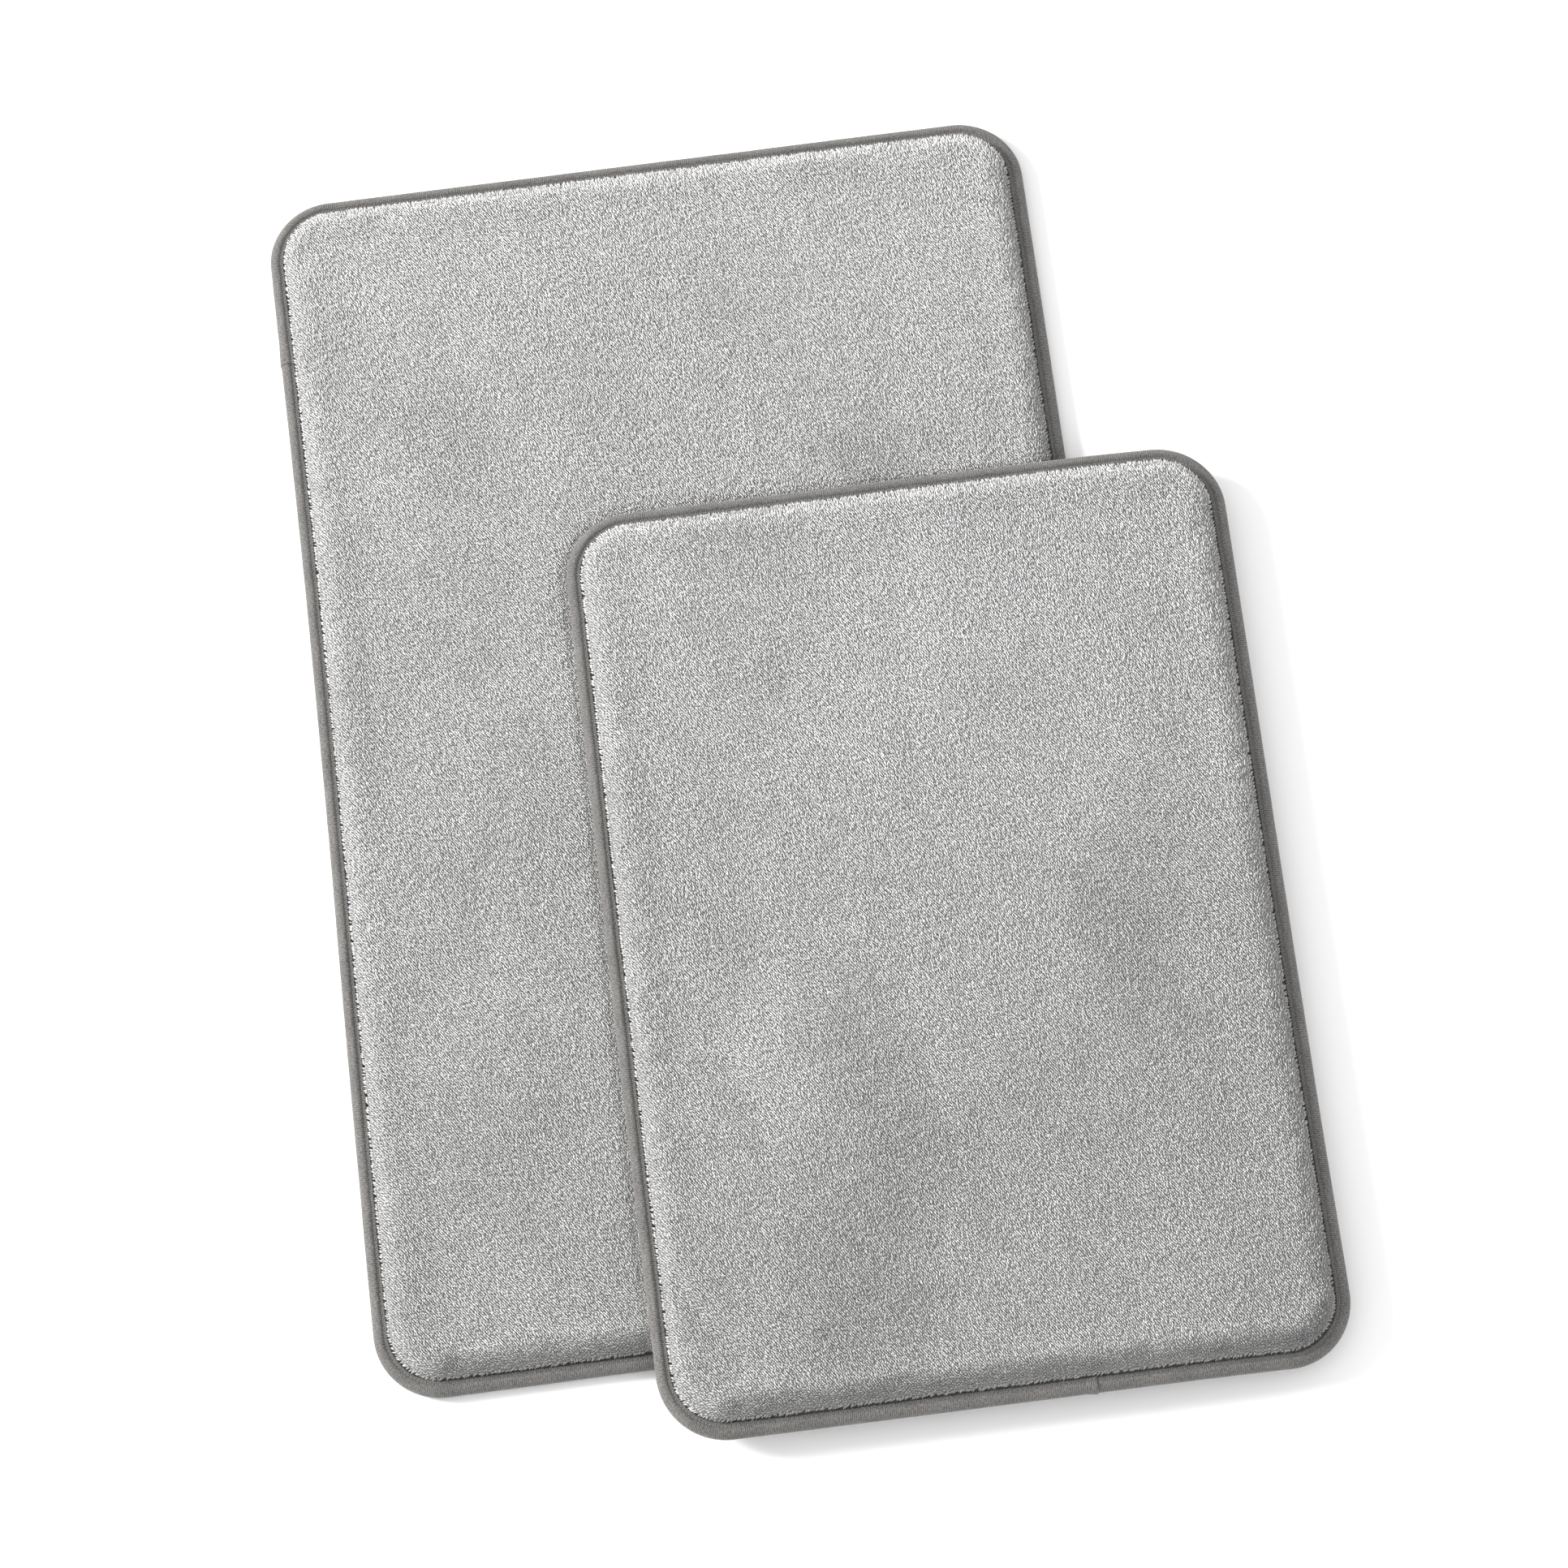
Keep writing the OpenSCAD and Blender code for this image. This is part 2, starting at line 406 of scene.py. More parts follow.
def tape_cloth():
    """Brushed knit tape with fine ribs across it. The layer tape_way runs along and across the tape."""
    made, tree, shader = material("binding_tape", grey(0.16, 0.05), 0.9, 0.3, 0.4)
    way = node(tree, "ShaderNodeUVMap", uv_map="tape_way").outputs["UV"]
    patches = noise(tree, way, 60, 3)
    along = node(tree, "ShaderNodeSeparateXYZ")
    tree.links.new(way, along.inputs[0])
    uneven = multiply_add(tree, patches, 14, 0)
    turn = multiply_add(tree, along.outputs["X"], 2 * math.pi / RIB_PITCH, uneven)
    wave = node(tree, "ShaderNodeMath", operation="SINE")
    tree.links.new(turn, wave.inputs[0])
    drawn = node(tree, "ShaderNodeMapping")
    drawn.inputs["Scale"].default_value = (1, 0.45, 1)
    tree.links.new(way, drawn.inputs["Vector"])
    fuzz = noise(tree, drawn.outputs["Vector"], 1100, 3, 0.7)
    ribs = multiply_add(tree, wave.outputs[0], 0.09, fuzz)
    shade = multiply_add(tree, patches, 0.2, ribs)
    stops = [(0.39, grey(0.055, 0.05)), (0.81, grey(0.212, 0.04))]
    tree.links.new(ramp(tree, shade, stops), shader.inputs["Base Color"])
    bump(tree, shader, ribs, 0.9 * MM)
    return made


def thread_material():
    """Twisted polyester thread."""
    made, tree, shader = material("sewing_thread", grey(0.2, 0.03), 0.55)
    twist = noise(tree, stretched(tree, 1, 1, 0), 2500, 1)
    stops = [(0.3, grey(0.14, 0.03)), (0.7, grey(0.26, 0.03))]
    tree.links.new(ramp(tree, twist, stops), shader.inputs["Base Color"])
    bump(tree, shader, twist, 0.15 * MM)
    return made


def backing_cloth():
    """Rubber-coated cloth: a fine weave under a matt coat."""
    made, tree, shader = material("backing_cloth", grey(0.62, 0.01), 0.7)
    where = node(tree, "ShaderNodeTexCoord").outputs["Object"]
    weave = node(tree, "ShaderNodeTexBrick", Scale=1.0)
    weave.inputs["Brick Width"].default_value = 1.1 * MM
    weave.inputs["Row Height"].default_value = 1.1 * MM
    weave.inputs["Mortar Size"].default_value = 0.18 * MM
    weave.inputs["Color1"].default_value = (*grey(0.62, 0.01), 1)
    weave.inputs["Color2"].default_value = (*grey(0.54, 0.01), 1)
    weave.inputs["Mortar"].default_value = (*grey(0.38, 0.01), 1)
    tree.links.new(where, weave.inputs["Vector"])
    tree.links.new(weave.outputs["Color"], shader.inputs["Base Color"])
    bump(tree, shader, noise(tree, where, 1500, 2), 0.2 * MM)
    return made


def grip_rubber():
    """Moulded rubber of the grip dots, slightly clouded."""
    made, tree, shader = material("grip_rubber", grey(0.7, 0.01), 0.45)
    where = node(tree, "ShaderNodeTexCoord").outputs["Object"]
    cloud = noise(tree, where, 300, 2)
    stops = [(0.3, grey(0.62, 0.01)), (0.7, grey(0.74, 0.01))]
    tree.links.new(ramp(tree, cloud, stops), shader.inputs["Base Color"])
    bump(tree, shader, noise(tree, where, 1800, 1), 0.05 * MM)
    return made


def foam_material():
    """Open-cell foam: small pits in pale yellowish white."""
    made, tree, shader = material("soft_foam", (0.80, 0.76, 0.64), 0.9)
    where = node(tree, "ShaderNodeTexCoord").outputs["Object"]
    cells = node(tree, "ShaderNodeTexVoronoi", Scale=900.0)
    tree.links.new(where, cells.inputs["Vector"])
    stops = [(0.0, (0.55, 0.50, 0.40)), (0.5, (0.82, 0.78, 0.66))]
    tree.links.new(ramp(tree, cells.outputs["Distance"], stops), shader.inputs["Base Color"])
    bump(tree, shader, cells.outputs["Distance"], 0.6 * MM)
    return made


GROUND_DARK_AS_SHADE = ground_cloth()
TUFTS = tuft_tones()
TAPE = tape_cloth()
THREAD = thread_material()
BACKING = backing_cloth()
GRIP = grip_rubber()
FOAM = foam_material()


# ---------------------------------------------------------------- the pile cover
def arc_section(inset, height, radius, start, end, steps):
    """A section's points round an arc; 0 degrees is straight out to the mat's edge and 90 is up."""
    angles = np.radians(np.linspace(start, end, steps))
    return [(inset - radius * math.cos(a), height + radius * math.sin(a)) for a in angles]


def swell(piece, mat):
    """Fills the cover by cloth simulation: pressure lifts its crown, and the rest stays put."""
    mesh = piece.data
    rest = np.array([v.co for v in mesh.vertices])
    local = rest - mat.centre
    depth = inside_edge(mat, local[:, 0], local[:, 1])
    free = (local[:, 2] > FOAM_TOP + 0.5 * MM) & (depth > PILE_FOOT + 0.6 * SHOULDER_W)
    group = piece.vertex_groups.new(name="held")
    group.add([int(k) for k in np.flatnonzero(~free)], 1.0, "REPLACE")
    cloth = piece.modifiers.new("swell", "CLOTH")
    cloth.settings.use_pressure = True
    cloth.settings.uniform_pressure_force = 6.0
    cloth.settings.shrink_min = -0.03
    cloth.settings.effector_weights.gravity = 0.0
    cloth.settings.vertex_group_mass = group.name
    cloth.settings.quality = 5
    scene = bpy.context.scene
    for number in range(1, 21):
        scene.frame_set(number)
    graph = bpy.context.evaluated_depsgraph_get()
    swollen = piece.evaluated_get(graph)
    now = np.zeros(len(rest) * 3)
    swollen.data.vertices.foreach_get("co", now)
    now = now.reshape(-1, 3)
    piece.modifiers.remove(cloth)
    scene.frame_set(1)
    piece.vertex_groups.clear()
    moved = now - rest
    far = np.linalg.norm(moved, axis=1)
    capped = rest + moved * (np.minimum(far, SWELL) / np.maximum(far, 1e-9))[:, None]
    mesh.vertices.foreach_set("co", capped.ravel())
    mesh.update()


def skin_section(out):
    """The cover's section: crown, bulging shoulder, flange sewn into the tape, and lower face."""
    short = SWELL
    overhang = OVERHANG * (0.5 + 0.5 * (out[:, 0] * math.cos(LEAN) + out[:, 1] * math.sin(LEAN)))
    side = PILE_FOOT - overhang
    width = SHOULDER_W * (1 + FRONT_WIDER * np.clip(-out[:, 1], 0, 1))
    crown = ((CORNER_R, 1), (38 * MM, 0.9), (33 * MM, 0.7), (28.5 * MM, 0.35))
    section = [(inset, SKIN_TOP - share * short) for inset, share in crown]
    for degrees in (90, 75, 60, 45, 30, 15, 0):
        a = math.radians(degrees)
        section.append((side + width * (1 - math.cos(a)), WAIST + (SKIN_TOP - WAIST) * math.sin(a)))
    for degrees in (35, 65, 90):
        a = math.radians(degrees)
        inset = side + (PILE_FOOT - side) * (1 - math.cos(a))
        section.append((inset, WAIST - (WAIST - GROOVE_FLOOR) * math.sin(a)))
    section += [(TAPE_W + 0.4 * MM, GROOVE_FLOOR), (TAPE_W - 0.4 * MM, 6.8 * MM)]
    section += [(6 * MM, 8.0 * MM), (3 * MM, 7.3 * MM), (6 * MM, 6.1 * MM), (TAPE_W, 4.9 * MM)]
    section += [(20 * MM, 5.1 * MM), (24 * MM, FOAM_TOP)]
    return section + [(CORNER_R, FOAM_TOP)]


def pile_cover(mat):
    """The ground cloth of the plush, crowned over the foam, with its sewn flange inside the binding."""
    points, faces = shell(mat, 6.5 * MM, skin_section)
    name = mat.name + "_pile_cloth"
    cover = mesh_object(name, points + mat.centre, faces, mat, [GROUND_DARK_AS_SHADE], place=False)
    swell(cover, mat)
    apply_subdivision(cover)
    unevenness(cover, mat)
    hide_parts(mat.name + "_pile_cover")
    return cover


def apply_subdivision(piece):
    piece.modifiers.new("smooth", "SUBSURF").levels = 1
    graph = bpy.context.evaluated_depsgraph_get()
    finer = bpy.data.meshes.new_from_object(piece.evaluated_get(graph))
    piece.modifiers.clear()
    old = piece.data
    piece.data = finer
    bpy.data.meshes.remove(old)
    piece.data.name = piece.name


def unevenness(piece, mat):
    """Gives the swollen cloth the shallow dips of soft foam, still about the mat's own centre."""
    p = np.zeros(len(piece.data.vertices) * 3)
    piece.data.vertices.foreach_get("co", p)
    p = p.reshape(-1, 3) - mat.centre
    depth = np.clip((inside_edge(mat, p[:, 0], p[:, 1]) - PILE_FOOT) / SHOULDER_W, 0, 1)
    up = p[:, 2] > FOAM_TOP + 1 * MM
    dips = smooth_noise(p[:, 0], p[:, 1], 70 * MM, mat.seed)
    dips += 0.5 * smooth_noise(p[:, 0], p[:, 1], 28 * MM, mat.seed + 1)
    p[:, 2] += np.where(up, DIP * dips * depth, 0)
    piece.data.vertices.foreach_set("co", (p + mat.centre).ravel())
    piece.data.update()


# ---------------------------------------------------------------- tufts
def planted(piece, mat, rng):
    """Tuft roots in staggered rows along the pile's lean, dropped onto the cover, and its direction."""
    reach = math.hypot(mat.width, mat.length) / 2
    rows, in_row = int(2 * reach / TUFT_GAP), int(2 * reach / TUFT_STEP)
    shape = (rows, in_row)
    across = (np.arange(rows)[:, None] - rows / 2 + rng.normal(0, 0.16, shape)) * TUFT_GAP
    start = rng.uniform(0, 1, (rows, 1)) - in_row / 2
    along = (np.arange(in_row)[None] + start + rng.normal(0, 0.16, shape)) * TUFT_STEP
    x = (along * math.cos(LEAN) - across * math.sin(LEAN)).ravel()
    y = (along * math.sin(LEAN) + across * math.cos(LEAN)).ravel()
    over = inside_edge(mat, x, y) > PILE_FOOT - OVERHANG - 1 * MM
    corners = [v.co - Vector(mat.centre) for v in piece.data.vertices]
    ground = BVHTree.FromPolygons(corners, [f.vertices for f in piece.data.polygons])
    down, height = Vector((0, 0, -1)), 0.1
    root, up = [], []
    for px, py in zip(x[over].tolist(), y[over].tolist()):
        place, normal, _, _ = ground.ray_cast(Vector((px, py, height)), down)
        if place is not None and normal.z > STEEP and place.z > TUFTED_FROM:
            root.append(place)
            up.append(normal)
    return np.array(root), np.array(up)


def scatter(piece, mat, area, rng):
    """Random points over the steep part of the cover, one for each area, and its direction there."""
    mesh = piece.data
    p = np.zeros(len(mesh.vertices) * 3)
    n = np.zeros(len(mesh.vertices) * 3)
    mesh.vertices.foreach_get("co", p)
    mesh.vertex_normals.foreach_get("vector", n)
    p, n = p.reshape(-1, 3) - mat.centre, n.reshape(-1, 3)
    corners = np.zeros(len(mesh.loops), int)
    mesh.loops.foreach_get("vertex_index", corners)
    quads = corners.reshape(-1, 4)
    centre = p[quads].mean(axis=1)
    across, along = p[quads[:, 2]] - p[quads[:, 0]], p[quads[:, 3]] - p[quads[:, 1]]
    facing = np.cross(across, along)
    size = np.linalg.norm(facing, axis=1) / 2
    shown = inside_edge(mat, centre[:, 0], centre[:, 1]) < PILE_FOOT + SHOULDER_W
    shown &= (facing[:, 2] > -0.8 * size) & (facing[:, 2] < 2 * STEEP * size)
    shown &= centre[:, 2] > TUFTED_FROM
    quads, size = quads[shown], size[shown]
    number = np.floor(size / area + rng.random(len(size))).astype(int)
    quads = np.repeat(quads, number, axis=0)
    u, v = rng.random((2, len(quads), 1))
    blend = lambda q: (q[quads[:, 0]] * (1 - u) + q[quads[:, 1]] * u) * (1 - v) \
        + (q[quads[:, 3]] * (1 - u) + q[quads[:, 2]] * u) * v
    normal = blend(n)
    return blend(p), normal / np.linalg.norm(normal, axis=1)[:, None]


def unit(v):
    return v / np.maximum(np.linalg.norm(v, axis=1), 1e-9)[:, None]


def stroked(mat, x, y):
    """How many greys darker the pile looks for the strokes of a hand: patches with soft, ragged edges."""
    field = lambda size, number: smooth_noise(x, y, size, mat.seed + number)
    ragged_x = 16 * MM * field(30 * MM, 16) + 8 * MM * field(8 * MM, 17)
    ragged_y = 22 * MM * field(30 * MM, 18) + 11 * MM * field(8 * MM, 19)
    rng = np.random.default_rng(mat.seed + 40)
    darker = np.zeros(len(x))
    for _ in range(STROKES):
        centre_x, centre_y = rng.uniform(-0.42, 0.42, 2) * (mat.width, mat.length)
        across = (x + ragged_x - centre_x) / rng.uniform(*STROKE_W)
        along = (y + ragged_y - centre_y) / rng.uniform(*STROKE_L)
        strength = rng.uniform(*STROKE_TONE) * (-1 if rng.random() < LIGHTER else 1)
        darker += strength / (1 + np.exp(8 * (np.hypot(across, along) - 1)))
    return darker


def brushing(mat, x, y):
    """How the pile lies at each point: its heading, how steeply it stands up, and how light it looks, with
    painted light that makes it lighter towards the back of the mat.
    """
    field = lambda size, number, stretch=1: smooth_noise(x, y / stretch, size, mat.seed + number)
    heading = LEAN + 0.22 * field(75 * MM, 6) + 0.20 * field(9 * MM, 7)
    lift = TUFT_RAISE + 0.10 * field(55 * MM, 8) + 0.06 * field(8 * MM, 9)
    # Painted light: the pile is coloured from a grey darker at the front of the mat to a grey lighter at
    # the back, as the light falls.
    tone = MIDDLE_TONE + 2.0 * y / mat.length - stroked(mat, x, y)
    tone += 0.5 * field(48 * MM, 14) + 0.35 * field(14 * MM, 12, 7) + 0.25 * field(11 * MM, 15, 0.25)
    return heading, lift, tone


def outward(mat, x, y):
    """The direction to the nearest edge of the mat."""
    qx = np.abs(x) - (mat.width / 2 - CORNER_R)
    qy = np.abs(y) - (mat.length / 2 - CORNER_R)
    corner = (qx > 0) & (qy > 0)
    ox = np.where(corner, qx, qx >= qy) * np.sign(x)
    oy = np.where(corner, qy, qx < qy) * np.sign(y)
    return unit(np.column_stack([ox, oy, np.zeros(len(ox))]))


def pressed_and_shadowed(mat, x, y):
    """How flat the small mat presses the pile, and how much painted contact shadow it puts on it: most
    beside its edge, and a faint darker print under it.
    """
    if mat is small:
        return np.zeros(len(x)), np.zeros(len(x))
    under = inside_edge(small, x - small_on_large[0], y - small_on_large[1])
    flat = np.clip(1 + (under + 2 * MM) / (4 * MM), 0, 1)
    # Painted shadow: full within 12 mm inside the small mat's edge, and fading to 0.15 of that further
    # under it.
    return flat, flat * (0.15 + 0.85 * np.clip(1 - under / (12 * MM), 0, 1))


def tufts(mat, cover):
    """Locks of pile, brushed one way but never quite evenly, and spilling over the seam at the edge."""
    rng = np.random.default_rng(mat.seed + 5)
    root, up = planted(cover, mat, rng)
    side_root, side_up = scatter(cover, mat, TUFT_STEP * TUFT_GAP, rng)
    root, up = np.concatenate([root, side_root]), np.concatenate([up, side_up])
    count = len(root)
    x, y = root[:, 0], root[:, 1]
    heading, lift, tone = brushing(mat, x, y)
    heading += rng.normal(0, 0.14, count)
    # How high each tuft stands; the higher ones are also painted lighter and the lower ones darker, as
    # painted shade in the gaps.
    raised_and_lighter = rng.uniform(0, 1, count)
    lift = np.clip(lift + rng.normal(0, 0.12, count), 0.0, 1.2)[:, None]
    out = outward(mat, x, y)
    flat, dark = pressed_and_shadowed(mat, x, y)
    flat = flat[:, None]
    lift *= 1 - 0.7 * flat
    depth = inside_edge(mat, x, y) - PILE_FOOT
    spill = np.clip(1 - depth / SPILL_W, 0, 1) * (1 + 0.9 * np.minimum(out[:, 1], 0))
    against = np.maximum(-out[:, 0] * math.cos(LEAN) - out[:, 1] * math.sin(LEAN), 0)
    # Painted shade: the shoulders that the pile leans away from, the front most and the right less, are
    # coloured darker.
    painted_shade = np.minimum(12 * against ** 3, PAINTED_SHADE_TONE) * np.clip(1 - depth / PAINTED_SHADE_W, 0, 1)
    brushed = np.column_stack([np.cos(heading), np.sin(heading), np.zeros(count)]) + out * spill[:, None]
    along = unit(brushed - up * (brushed * up).sum(axis=1)[:, None])
    side = np.cross(up, along)
    length = TUFT_LENGTH * rng.uniform(0.7, 1.25, count)[:, None] * (1 - 0.35 * spill[:, None])
    half = side * TUFT_WIDTH / 2 * rng.uniform(0.7, 1.3, count)[:, None] * (1 - 0.25 * spill[:, None])
    ridge = TUFT_RIDGE * (0.55 + 0.9 * raised_and_lighter[:, None]) * (1 - 0.5 * flat)
    low = root - up * TUFT_ROOT
    back = root - along * 0.4 * length + up * (0.5 * ridge)
    tip = root + along * 0.6 * length * np.cos(lift) + up * (ridge + 0.6 * length * np.sin(lift))
    corners = [low - half, low + half, back, tip]
    # Painted shade deep in the groove: the pile's foot beside the tape is coloured darker.
    painted_shade += FOOT_SHADE_TONE * np.clip(1 - depth / FOOT_SHADE_W, 0, 1)
    tone = tone - painted_shade - PRESSED_SHADOW_TONE * dark + 2.5 * (raised_and_lighter - 0.5) + rng.normal(0, 0.8, count)
    tone = np.clip(np.round(tone), 0, len(TUFTS) - 1).astype(int)
    points = lie(mat, np.stack(corners, axis=1).reshape(-1, 3))
    shape = np.array([(0, 3, 2), (1, 2, 3), (0, 1, 3), (1, 0, 2)])
    parts = math.ceil(4 * count / MOST_FACES)
    part_of = np.minimum((y / mat.length + 0.5) * parts, parts - 1).astype(int)
    for part in range(parts):
        mine = part_of == part
        first = 4 * np.arange(mine.sum())[:, None]
        faces = (first[:, None] + shape[None]).reshape(-1, 3)
        name = f"{mat.name}_pile_tufts_{part + 1}"
        tuft_object(name, points[np.repeat(mine, 4)], faces, np.repeat(tone[mine], 4), mat)


def tuft_object(name, points, faces, tones, mat):
    mesh = bpy.data.meshes.new(name)
    mesh.vertices.add(len(points))
    mesh.vertices.foreach_set("co", points.ravel())
    mesh.loops.add(faces.size)
    mesh.loops.foreach_set("vertex_index", faces.ravel())
    mesh.polygons.add(len(faces))
    mesh.polygons.foreach_set("loop_start", np.arange(0, faces.size, 3))
    mesh.polygons.foreach_set("material_index", tones)
    for tone in TUFTS:
        mesh.materials.append(tone)
    mesh.update(calc_edges=True)
    mesh.shade_smooth()
    piece = bpy.data.objects.new(name, mesh)
    bpy.context.scene.collection.objects.link(piece)
    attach(piece, mat.body)


# ---------------------------------------------------------------- foam and backing
def foam_core(mat):
    section = [(CORNER_R, FOAM_TOP - 0.3 * MM), (27 * MM, FOAM_TOP - 0.3 * MM)]
    section += arc_section(25 * MM, FOAM_TOP - 3.3 * MM, 3 * MM, 90, 20, 4)
    section += [(18 * MM, 4.7 * MM), (8 * MM, 4.6 * MM), (3 * MM, 4.4 * MM), (3 * MM, 3.5 * MM)]
    section += [(8 * MM, 2.7 * MM), (TAPE_W, 2.6 * MM), (16 * MM, 1.8 * MM), (CORNER_R, 1.8 * MM)]
    points, faces = shell(mat, 8 * MM, section)
    core = mesh_object(mat.name + "_soft_foam", points, faces, mat, [FOAM])
    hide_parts(mat.name + "_foam_core")


def backing(mat):
    """The backing cloth, on its grip dots just over the floor, and turned up over the tape's lower leg."""
    low = DOT_H
    section = [(CORNER_R, 1.6 * MM), (16 * MM, 1.6 * MM), (TAPE_W, 2.4 * MM), (3 * MM, 2.7 * MM)]
    section += [(CLOTH_IN, 2.3 * MM), (3 * MM, 1.9 * MM), (TAPE_W, 1.5 * MM)]
    section += [(16 * MM, low), (CORNER_R, low)]
    points, faces = shell(mat, 8 * MM, section)
    cloth = mesh_object(mat.name + "_backing_cloth", points, faces, mat, [BACKING])
    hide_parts(mat.name + "_nonslip_backing")
    dots = grip_dots(mat)


def grip_dots(mat):
    """Rows of low rubber domes, every second row moved half a step."""
    around = 10
    angles = np.arange(around) * 2 * math.pi / around
    circle = np.column_stack([np.cos(angles), np.sin(angles)])
    levels = [(1.0, DOT_H + 0.3 * MM), (1.0, DOT_H * 0.75), (0.8, DOT_H * 0.3), (0.45, 0.05 * MM)]
    dot = [np.column_stack([circle * DOT_R * r, np.full(around, z)]) for r, z in levels]
    dot = np.concatenate(dot + [np.array([[0, 0, 0.0]]), np.array([[0, 0, DOT_H + 0.3 * MM]])])
    faces = []
    for k in range(len(levels) - 1):
        for i in range(around):
            j = (i + 1) % around
            faces.append((k * around + i, (k + 1) * around + i, (k + 1) * around + j, k * around + j))
    last, tip, lid = (len(levels) - 1) * around, len(levels) * around, len(levels) * around + 1
    faces = [f[::-1] for f in faces]
    faces += [(last + (i + 1) % around, last + i, tip)[::-1] for i in range(around)]
    faces += [(i, (i + 1) % around, lid) for i in range(around)]
    inner_x, inner_y = mat.width / 2 - 22 * MM, mat.length / 2 - 22 * MM
    rows = int(2 * inner_y / (DOT_PITCH * 0.866))
    points, all_faces = [], []
    for row in range(rows + 1):
        y = -inner_y + row * 2 * inner_y / rows
        columns = int(2 * inner_x / DOT_PITCH) - row % 2
        for column in range(columns + 1):
            x = (column - columns / 2) * DOT_PITCH
            if inside_edge(mat, x, y) < 20 * MM:
                continue
            start = len(points) * len(dot)
            points.append(dot + np.array([x, y, 0]))
            all_faces += [tuple(start + v for v in f) for f in faces]
    return mesh_object(mat.name + "_grip_dots", np.concatenate(points), all_faces, mat, [GRIP])


# ---------------------------------------------------------------- binding
def tape_section(walked, around, seed):
    """The folded tape: turned-under lip, sunk seam, padded band, rolled outer edge and flat lower leg."""
    field = lambda wave, number: ring_noise(walked, around, wave, seed + number)
    wander = 0.35 * MM * field(45 * MM, 0) + 0.12 * MM * field(9 * MM, 1)
    plump = 0.30 * MM * field(70 * MM, 2) + 0.10 * MM * field(12 * MM, 3)
    pucker = 0.10 * MM * field(3.2 * MM, 4)
    lip = TAPE_W + wander
    seam = SEAM_IN + 0.5 * wander
    top = SEAM_TOP + 0 * walked
    outer = [(lip - 0.3 * MM, top - 0.6 * MM), (lip, top - 0.1 * MM + pucker)]
    outer += [(lip - 0.5 * MM, top + 0.4 * MM + pucker), (seam + 0.9 * MM, top + 0.4 * MM)]
    outer += [(seam + 0.35 * MM, top - 0.15 * MM), (seam - 0.3 * MM, top - 0.2 * MM)]
    outer += [(seam - 1.0 * MM, top + 0.5 * MM + pucker), (seam - 2.4 * MM, top + 1.1 * MM + plump)]
    for degrees in (75, 55, 35, 15, -5, -25, -45, -65):
        a = math.radians(degrees)
        radius = ROLL_R + 0.4 * plump
        rise = radius * math.sin(a) * (1 if degrees > 0 else 0.995)
        outer.append((ROLL_R + 0.2 * MM - radius * math.cos(a), ROLL_R + rise))
    outer += [(ROLL_R + 1.0 * MM, 0 * walked), (SEAM_IN - 0.7 * MM, 0 * walked)]
    outer += [(SEAM_IN - 0.25 * MM, 0.35 * MM), (SEAM_IN + 0.25 * MM, 0.35 * MM)]
    outer += [(SEAM_IN + 0.7 * MM, 0 * walked), (TAPE_W, 0.05 * MM)]
    inner = [(TAPE_W, 0.9 * MM), (ROLL_R + 1 * MM, TAPE_T)]
    for degrees in (-60, -20, 20, 60):
        a = math.radians(degrees)
        inner.append((ROLL_R - (ROLL_R - TAPE_T) * math.cos(a), ROLL_R + (ROLL_R - TAPE_T) * math.sin(a)))
    inner += [(ROLL_R, EDGE_H - TAPE_T), (SEAM_IN, SEAM_TOP - 0.7 * MM)]
    return outer + inner


def tape_way(piece, walked, count, section_points):
    """Stores how far along and across the tape each point is, for the knit."""
    mesh = piece.data
    layer = mesh.uv_layers.new(name="tape_way")
    index = np.zeros(len(mesh.loops), int)
    mesh.loops.foreach_get("vertex_index", index)
    along = walked[index % count]
    across = section_points[index // count]
    faces = np.arange(len(mesh.loops)) // 4
    # Where a face closes the ring, its far points carry on from the near ones.
    total = walked[-1] + (walked[1] - walked[0])
    low = np.full(faces.max() + 1, np.inf)
    np.minimum.at(low, faces, along)
    high = np.zeros(faces.max() + 1)
    np.maximum.at(high, faces, along)
    wraps = (high - low)[faces] > total / 2
    along = np.where(wraps & (along < total / 2), along + total, along)
    layer.data.foreach_set("uv", np.column_stack([along, across]).ravel())


def edge_binding(mat):
    base, out, walked, around = rim(mat, 1.6 * MM)
    section = tape_section(walked, around, mat.seed + 20)
    rings = [at_rim(base, out, u, z) for u, z in section]
    points = np.concatenate(rings)
    faces = ring_faces(len(section), len(base), True)[:, ::-1]
    tape = mesh_object(mat.name + "_binding_tape", points, faces, mat, [TAPE])
    steps = [np.linalg.norm(b[0] - a[0]) for a, b in zip(rings, rings[1:])]
    across = np.concatenate([[0], np.cumsum(steps)])
    tape_way(tape, walked, len(base), across)
    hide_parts(mat.name + "_edge_binding")


